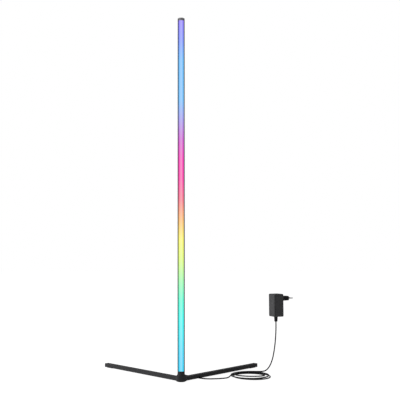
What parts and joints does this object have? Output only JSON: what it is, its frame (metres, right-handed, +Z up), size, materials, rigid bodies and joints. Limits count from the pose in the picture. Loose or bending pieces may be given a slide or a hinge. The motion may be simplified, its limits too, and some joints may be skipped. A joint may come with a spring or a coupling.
{
  "type": "corner floor lamp",
  "caption": "Slim upright light pole on a small flared hub with two flat legs at a right angle, with a low-voltage lead, a loose coil and a plug-in power adapter.",
  "frame": {"origin": "on the floor, under the axis of the pole", "axes": "+Z up along the pole, -Y the way the light faces, +Y towards the ends of the legs, +X towards the lead and the adapter"},
  "size_m": [0.7747, 0.3437, 1.4],
  "materials": {
    "black_aluminium": "fine matt anodised",
    "black_painted_metal": "fine powder coat",
    "black_painted_steel": "fine powder coat",
    "cast_metal": "as cast",
    "black_plastic": "fine grain",
    "adapter_plastic": "fine spark grain",
    "glow_diffuser": "milky, lit from behind",
    "strip_board": "white solder mask",
    "light_chip": "clear resin over phosphor",
    "circuit_board": "solder mask",
    "chip_black": "moulded",
    "foam_tape": "foam",
    "wire_cover": "soft cover",
    "screw_steel": "zinc plated",
    "nickel_plate": "satin nickel",
    "black_rubber": "matt",
    "black_moulding": "satin moulding",
    "black_cord": "satin cover",
    "core_tape": "yellow tape",
    "capacitor_sleeve": "shrink sleeve"
  },
  "bodies": {
    "root": {"pole_profile": "black_aluminium", "top_cap": "black_plastic", "diffuser": "glow_diffuser", "led_strip": "strip_board", "leds": "light_chip", "pole_insert": "cast_metal", "hub": "black_painted_metal", "base_cover": "black_plastic", "cover_screws": "screw_steel", "pole_screws": "screw_steel", "hub_pad": "black_rubber", "right_leg": "black_painted_steel", "left_leg": "black_painted_steel", "leg_screws": "screw_steel", "right_end_cap": "black_plastic", "left_end_cap": "black_plastic", "right_leg_pad": "black_rubber", "left_leg_pad": "black_rubber", "board_tape": "foam_tape", "controller_board": "circuit_board", "board_chips": "chip_black", "supply_wires": "wire_cover", "strip_wires": "wire_cover", "power_jack": "black_plastic", "plug_barrel": "nickel_plate", "plug_grip": "black_moulding", "plug_boot": "black_moulding", "cord_run": "black_cord", "cord_coil": "black_cord", "cord_rise": "black_cord", "adapter_case_back": "adapter_plastic", "adapter_case_front": "adapter_plastic", "plug_block": "adapter_plastic", "plug_pins": "nickel_plate", "adapter_boot": "black_moulding", "adapter_board": "circuit_board", "adapter_transformer": "core_tape", "adapter_capacitors": "capacitor_sleeve"}
  },
  "joints": []
}
